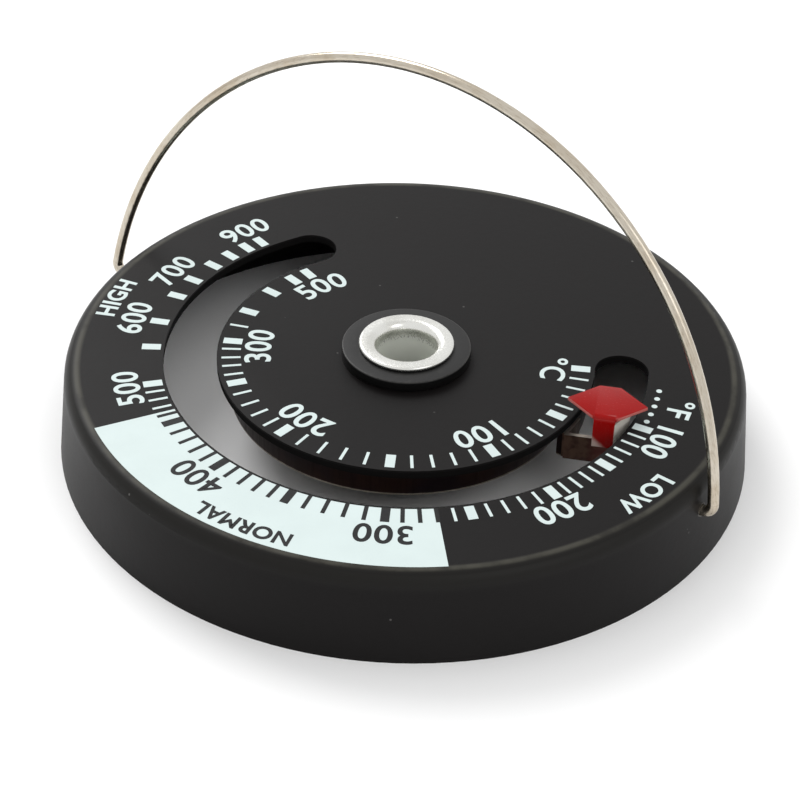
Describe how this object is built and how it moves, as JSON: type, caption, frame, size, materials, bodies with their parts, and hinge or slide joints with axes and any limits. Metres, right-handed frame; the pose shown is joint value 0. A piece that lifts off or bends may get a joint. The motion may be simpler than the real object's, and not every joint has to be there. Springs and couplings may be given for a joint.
{
  "type": "surface thermometer",
  "caption": "Magnetic bimetal surface thermometer for a stove or flue pipe: round black cover with a printed dial, a red arrow in a curved slot and a wire bail.",
  "frame": {"origin": "centre of the cover's open edge, on the plane it rests on", "axes": "+Z out of the dial along the hub's bore, +Y away from the reader's side of the stored view, +X to its right"},
  "size_m": [0.0636, 0.0636, 0.035],
  "materials": {
    "black_cover": "satin black baked paint on pressed steel, with a white printed scale",
    "black_washer": "satin black washer",
    "bright_eyelet": "bright zinc-plated rolled eyelet",
    "turned_steel": "turned steel bush",
    "plate_steel": "plain steel plate",
    "ferrite": "sintered ferrite, dark brown black",
    "bimetal": "heat-tinted bimetal strip",
    "arm_steel": "bare steel strip",
    "red_arrow": "gloss red enamel fading to bare metal on the tab",
    "bail_steel": "drawn stainless spring wire, slightly warm"
  },
  "bodies": {
    "root": {"cover": "black_cover", "hub_washer": "black_washer", "hub_eyelet": "bright_eyelet", "coil_bush": "turned_steel", "pole_plate": "plate_steel", "ring_magnet": "ferrite", "bimetal_coil": "bimetal"},
    "pointer": {"pointer_arm": "arm_steel", "pointer_arrow": "red_arrow"},
    "bail": {"bail_wire": "bail_steel"}
  },
  "joints": [
    {"name": "pointer_swing", "type": "hinge", "parent": "root", "child": "pointer", "pos_m": [0, 0, 0.006], "axis": [0, 0, 1], "range_deg": [-212, 15], "deforming": ["bimetal_coil"]},
    {"name": "bail_swing", "type": "hinge", "parent": "root", "child": "bail", "pos_m": [0, 0, 0.0048], "axis": [0.8247, -0.5647, 0.0314], "range_deg": [-36, 56]}
  ]
}
